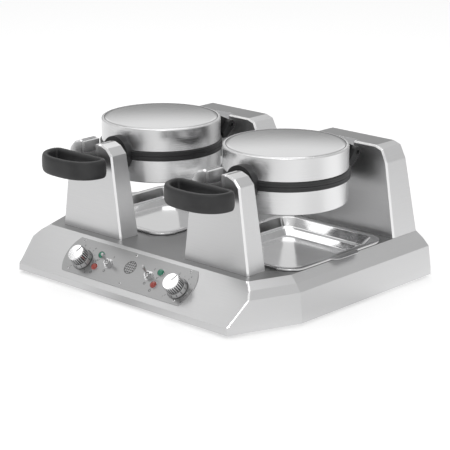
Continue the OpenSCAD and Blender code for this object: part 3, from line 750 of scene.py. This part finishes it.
def housing(part, n, body, axis):
    """A drawn cup with round edges, a groove painted near-black as painted shade, and a crowned end."""
    cup = eased([(0.1040, 0.0083), (CUP_R, 0.0083), (CUP_R, CUP_TOP), (0.1040, CUP_TOP)],
                [0, 0.0010, 0.0046, 0], 8)
    groove = [(0.1038, 0.0484), (0.1031, 0.0484), (0.1029, 0.0491)]
    crown = [(0.1026 * (1 - k / 20), 0.0493 + 0.00270 * (1 - (1 - k / 20) ** 2)) for k in range(21)]
    turn, end = len(cup) - 1, len(cup) + 2

    def cup_part(k):
        """0 for the wall, 1 for the crowned end, 2 for the groove between them, painted dark as painted
        shade.
        """
        if k < turn:
            return 0
        return 2 if k < end else 1

    lathe(f"{part}_cup_{n}", cup + groove + crown, head_at[n], axis, None, body,
          (f"{part}_housing_{n}",), seg=192, mats=[M["wall_" + n], M["lid_" + n], M["dark"]], pick=cup_part,
          smooth=40)


def band(part, n, body, axis):
    """The black ring with a fine groove round it, and a lip that goes in to the waffle."""
    outline = eased([(LIP_R, 0.0002), (BAND_R, 0.0002), (BAND_R, 0.0036), (BAND_R - 0.0004, 0.0041),
                     (BAND_R, 0.0046), (BAND_R, BAND_TOP), (0.1002, BAND_TOP), (0.1002, BAND_SEAT),
                     (LIP_R, BAND_SEAT)],
                    [0, 0.0006, 0.0002, 0.0002, 0.0002, 0.0012, 0, 0, 0], 4)
    lathe(f"{part}_band_{n}", outline + [outline[0]], head_at[n], axis, M["plastic"], body,
          (f"{part}_ring_{n}",), seg=192)


def hinge_pins(n):
    """The hinge pin's two ends, each with a dimple in its face."""
    h = hinge_at[n]
    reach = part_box("hinge_pin_" + n)[1].x - h.x
    stub = [(0, 0.0170), (0.0050, 0.0170), (0.0050, reach - 0.0008), (0.0043, reach),
            (0.0035, reach - 0.0002), (0.0033, reach - 0.0035), (0, reach - 0.0035)]
    for turn, side in ((1, "outer"), (-1, "inner")):
        lathe(f"hinge_pin_{side}_{n}", stub, h, (turn, 0, 0), M["casting"], "head_" + n,
              ("hinge_pin_" + n,), seg=40)


def signed_power(v, e):
    """A power that keeps the sign, for rounded rectangles and ovals."""
    return math.copysign(abs(v) ** e, v)


def handle_outline(w, d, r):
    """A D loop: a full curve towards the front and a straight back with round corners."""
    pts = []
    for i in range(1, 60):
        a = math.radians(3 * i)
        pts.append((w * signed_power(math.cos(a), 0.8), -d * math.sin(a) ** 0.9))
    return pts + arc(range(180, 89, -9), r, r, r - w) + arc(range(90, -1, -9), r, r, w - r)


def resampled(points, count):
    """Equal steps along a closed polyline."""
    pts = [Vector(p) for p in points]
    pts.append(pts[0].copy())
    lengths = [0.0]
    for a, b in zip(pts, pts[1:]):
        lengths.append(lengths[-1] + (b - a).length)
    out, k = [], 0
    for i in range(count):
        t = lengths[-1] * i / count
        while lengths[k + 1] < t:
            k += 1
        f = (t - lengths[k]) / max(lengths[k + 1] - lengths[k], 1e-9)
        out.append(pts[k].lerp(pts[k + 1], f))
    return out


def handle(n):
    """A soft oval bar swept round the D loop, with a round collar where it meets the head."""
    c = head_at[n]
    lo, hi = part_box("handle_" + n)
    half_w, half_h, back = (hi.x - lo.x) / 2, (hi.z - lo.z) / 2, hi.y
    half_t, corner, count = 0.006, 0.016, 150
    depth = (hi.y - lo.y) - corner
    ring = resampled(handle_outline(half_w - half_t, depth - half_t, corner - half_t), count)
    loops = []
    for i, p in enumerate(ring):
        along = (ring[(i + 1) % count] - ring[i - 1]).normalized()
        out = Vector((-along.y, along.x))
        loop = []
        for k in range(32):
            a = 2 * math.pi * k / 32
            q = p + out * (signed_power(math.cos(a), 2 / 3) * half_t)
            rise = signed_power(math.sin(a), 2 / 3) * half_h
            loop.append(Vector((c.x + q.x, back - corner + q.y, c.z + rise)))
        loops.append(loop)
    loft("handle_loop_" + n, loops, M["plastic"], "lid_" + n, ("handle_" + n,), closed=True,
         smooth=60)
    collar = eased([(0.0152, -0.0105), (0.0156, -0.0060), (0.0162, -0.0020), (0.0162, 0.0020)],
                   [0, 0.006, 0.004, 0], 5)
    lathe("handle_collar_" + n, [(0, -0.0105)] + collar + [(0, 0.0020)], Vector((c.x, back, c.z)), (0, -1, 0),
          M["plastic"], "lid_" + n, seg=64)


for n, _ in SIDES:
    lid, head = "lid_" + n, "head_" + n
    for part, body, axis in (("upper", lid, (0, 0, 1)), ("lower", head, (0, 0, -1))):
        housing(part, n, body, axis)
        band(part, n, body, axis)
        skin(f"{part}_grid_skin_{n}", f"{part}_grid_{n}", body, "grid_iron", [M["grid"]], width=0.0007)
        skin(f"{part}_element_skin_{n}", f"{part}_element_{n}", body, "element_sheath", [M["element"]],
             width=0.0)
        skin(f"{part}_journal_skin_{n}", f"{part}_journal_{n}", body, "black_casting", [M["plastic"]],
             width=0.0022, segments=4)
    skin("hinge_bracket_skin_" + n, "hinge_bracket_" + n, head, "black_casting", [M["casting"]], width=0.0011,
         segments=3)
    skin("hinge_arm_skin_" + n, "hinge_arm_" + n, lid, "black_casting", [M["casting"]], width=0.0011,
         segments=3)
    skin("rear_spindle_skin_" + n, "rear_spindle_" + n, head, "bright_metal", [M["bright"]], width=0.0004)
    hinge_pins(n)
    handle(n)


# ---------------------------------------------------------------- knobs and toggles
KNOB_STEPS, KNOB_RIDGES = 416, 26

# Radius, height over the shell and depth of the knurl, from the skirt up to the face
KNOB_ROWS = [(0.0090, 0.0030, 0), (0.0190, 0.0021, 0), (0.0199, 0.0024, 0), (0.0196, 0.0034, 0),
             (0.0177, 0.0090, 0), (0.0172, 0.0094, 0), (0.0160, 0.0096, 0), (0.0159, 0.0103, 0),
             (0.0163, 0.0105, 0), (0.0168, 0.0109, 0.0010), (0.0168, 0.0231, 0.0010),
             (0.0164, 0.0238, 0.0005), (0.0156, 0.0240, 0), (0.0155, 0.0245, 0), (0.0150, 0.0257, 0),
             (0.0146, 0.0260, 0)]


def knob_loop(place, r, z, cut):
    """One row of points round a knob, cut in between the ridges."""
    pts = []
    for i in range(KNOB_STEPS):
        a = 2 * math.pi * i / KNOB_STEPS
        rr = r - cut * (0.5 - 0.5 * math.tanh(5 * (math.cos(KNOB_RIDGES * a) + 0.15)))
        pts.append(place(rr * math.cos(a), rr * math.sin(a), z))
    return pts


def knob_part(k, i):
    """0 skirt, 1 polished face, 2 dark neck, grooves and printed ticks, 3 bright ridges."""
    if 8 <= k < 12:
        return 2 if math.cos(2 * math.pi * KNOB_RIDGES * (i + 0.5) / KNOB_STEPS) < -0.15 else 3
    tick = (360 * i / KNOB_STEPS - 90) % 30 < 3.6
    return 1 if k >= 12 else 2 if 6 <= k < 8 or (k == 3 and tick) else 0


def knob(n):
    """A turned knob with a knurl and a pointer groove across its face."""
    centre = on_panel(knob_at[n].x, KNOB_S)
    basis = panel_basis @ turned(-25)

    def place(u, v, w):
        return centre + basis @ Vector((u, v, w))

    loops = [knob_loop(place, *row) for row in KNOB_ROWS]
    mats = [M[m] for m in ("grip", "face", "dark", "bright")]
    body = loft("knob_" + n + "_turned", loops, None, "knob_" + n, ("knob_" + n,),
                cap_start=True, cap_end=True, mats=mats, pick=knob_part, smooth=25)
    for f in body.data.polygons:
        if f.area > 3e-4:
            f.material_index = 1
    outline = eased([(-0.0011, 0.002), (0.0011, 0.002), (0.0011, 0.022), (-0.0011, 0.022)], 0.0005, 4, True)
    groove = prism("groove", outline, 0.0251, 0.030, place, M["ink"], "knob_" + n)
    cut = body.modifiers.new("cut", "BOOLEAN")
    cut.operation = "DIFFERENCE"
    cut.solver = "EXACT"
    cut.object = groove
    cut.material_mode = "TRANSFER"
    applied(body)
    bpy.data.objects.remove(groove)
    mark_sharp(body.data, 25)


def toggle(n):
    """A bat lever on a ball, leaning up the slope."""
    lean = math.radians(12)
    stem = (normal * math.cos(lean) - down_slope * math.sin(lean)).normalized()
    bat = [(0, -0.0080), (0.0011, -0.0078), (0.0012, -0.0034)] + arc(range(-65, 56, 10), 0.0033, 0.0033)
    bat += [(0.0017, 0.0040), (0.0018, 0.0060), (0.0022, 0.0110), (0.0027, 0.0170), (0.0028, 0.0190)]
    bat += arc(range(15, 90, 15), 0.0028, 0.0027, 0, 0.0190) + [(0, 0.0217)]
    lathe("toggle_bat_" + n, bat, on_panel(switch_x[n], SWITCH_S, 0.0075), stem, M["plated"],
          "switch_lever_" + n, ("toggle_lever_" + n,), seg=40)


for n, _ in SIDES:
    knob(n)
    toggle(n)


# ---------------------------------------------------------------- stage, light and camera
def fill_ramp(ramp, stops):
    """Set a grey ramp from (position, value) pairs."""
    ramp.interpolation = "EASE"
    e = ramp.elements
    while len(e) > 1:
        e.remove(e[-1])
    for k, (p, v) in enumerate(stops):
        el = e[0] if k == 0 else e.new(p)
        el.position = p
        el.color = (v, v, v, 1)


def azimuth_light(t, vector, stops):
    """Brightness round the horizon: a colour ramp read by the direction's angle."""
    split = t.nodes.new("ShaderNodeSeparateXYZ")
    link(t, vector, split.inputs[0])
    angle = t.nodes.new("ShaderNodeMath")
    angle.operation = "ARCTAN2"
    link(t, split.outputs["Y"], angle.inputs[0])
    link(t, split.outputs["X"], angle.inputs[1])
    turn = t.nodes.new("ShaderNodeMapRange")
    turn.inputs["From Min"].default_value = -math.pi
    turn.inputs["From Max"].default_value = math.pi
    link(t, angle.outputs[0], turn.inputs["Value"])
    ramp = t.nodes.new("ShaderNodeValToRGB")
    fill_ramp(ramp.color_ramp, [((degrees + 180) / 360, v) for degrees, v in stops])
    link(t, turn.outputs["Result"], ramp.inputs["Fac"])
    return ramp.outputs["Color"], split.outputs["Z"]


# Brightness of the room and of the bright card under it by azimuth in degrees, and of the sky by height
ROOM = [(-180, 0.80), (-158, 0.75), (-133, 0.80), (-112, 0.45), (-92, 0.30), (-78, 0.80), (-60, 1.0),
        (-22, 1.0), (-5, 1.2), (8, 1.2), (25, 0.42), (47, 0.36), (70, 0.60), (95, 0.42), (133, 0.30),
        (160, 0.60), (180, 0.80)]
CARD = [(-180, 1.10), (-158, 0.90), (-133, 1.0), (-114, 1.0), (-103, 0.86), (-90, 0.66), (-78, 0.84),
        (-60, 1.0), (-25, 1.12), (-5, 0.95), (8, 0.90), (26, 1.2), (47, 1.25), (70, 0.70), (95, 0.45),
        (133, 0.45), (160, 1.35), (180, 1.10)]
SKY = [(0.10, 0.28), (0.19, 0.40), (0.25, 0.66), (0.29, 0.88), (0.36, 0.84), (0.48, 0.60), (0.66, 0.60),
       (0.80, 0.66), (1.0, 0.90)]

world = bpy.data.worlds.new("studio")
scene.world = world
world.use_nodes = True
t = world.node_tree
back = t.nodes["Background"]
coord = t.nodes.new("ShaderNodeTexCoord")
low_sky, height = azimuth_light(t, coord.outputs["Generated"], ROOM)
rise = t.nodes.new("ShaderNodeMapRange")
rise.interpolation_type = "SMOOTHSTEP"
rise.inputs["From Min"].default_value = 0.08
rise.inputs["From Max"].default_value = 0.22
link(t, height, rise.inputs["Value"])
high = t.nodes.new("ShaderNodeValToRGB")
fill_ramp(high.color_ramp, SKY)
link(t, height, high.inputs["Fac"])
sky = t.nodes.new("ShaderNodeMixRGB")
link(t, rise.outputs["Result"], sky.inputs["Fac"])
link(t, low_sky, sky.inputs["Color1"])
link(t, high.outputs["Color"], sky.inputs["Color2"])
link(t, sky.outputs["Color"], back.inputs["Color"])
back.inputs["Strength"].default_value = 0.95

floor_mesh = bpy.data.meshes.new("floor")
floor_mesh.from_pydata([(-30, -30, 0), (30, -30, 0), (30, 30, 0), (-30, 30, 0)], [], [(0, 1, 2, 3)])
floor = bpy.data.objects.new("floor", floor_mesh)
stack.objects.link(floor)
m, t, p = new_material("floor")
p.inputs["Base Color"].default_value = (0.85, 0.85, 0.85, 1)
p.inputs["Roughness"].default_value = 0.9
p.inputs["Specular IOR Level"].default_value = 0.0
p.inputs["Emission Color"].default_value = (1, 1, 1, 1)
p.inputs["Emission Strength"].default_value = 0.36
place = t.nodes.new("ShaderNodeNewGeometry")
around, _ = azimuth_light(t, place.outputs["Position"], CARD)
card = t.nodes.new("ShaderNodeEmission")
card.inputs["Strength"].default_value = 0.85
link(t, around, card.inputs["Color"])
rays = t.nodes.new("ShaderNodeLightPath")
choose = t.nodes.new("ShaderNodeMixShader")
out = t.nodes["Material Output"]
link(t, rays.outputs["Is Glossy Ray"], choose.inputs["Fac"])
link(t, p.outputs[0], choose.inputs[1])
link(t, card.outputs[0], choose.inputs[2])
link(t, choose.outputs[0], out.inputs["Surface"])
floor_mesh.materials.append(m)


def area(name, place, aim, side, power):
    """A square area light of the given side, aimed at a point."""
    d = bpy.data.lights.new(name, "AREA")
    d.shape = "SQUARE"
    d.size = side
    d.energy = power
    o = bpy.data.objects.new(name, d)
    stack.objects.link(o)
    o.location = place
    o.rotation_euler = (Vector(aim) - Vector(place)).to_track_quat("-Z", "Y").to_euler()


area("overhead", (-0.7, 0.5, 2.4), (0, 0, 0.1), 1.7, 12)
area("edge_card", (1.19, -1.27, 1.80), (0.25, -0.22, 0.05), 0.7, 5)
area("knob_card", (-1.63, -0.83, 1.85), (0, -0.2, 0.05), 0.6, 1.3)

# Camera, fitted to the photograph
cam_data = bpy.data.cameras.new("camera")
cam = bpy.data.objects.new("camera", cam_data)
stack.objects.link(cam)
az, el, dist = math.radians(42.84), math.radians(16.52), 3.132
target = Vector((-0.0005, 0.02775, 0.0905))
away = Vector((math.sin(az) * math.cos(el), -math.cos(az) * math.cos(el), math.sin(el)))
cam.location = target + away * dist
cam.rotation_euler = (target - cam.location).to_track_quat("-Z", "Y").to_euler()
cam_data.sensor_width = 36
cam_data.lens = 138.8
cam_data.shift_x = -0.0033
cam_data.shift_y = -0.0123
scene.camera = cam
scene.view_settings.view_transform = "Standard"
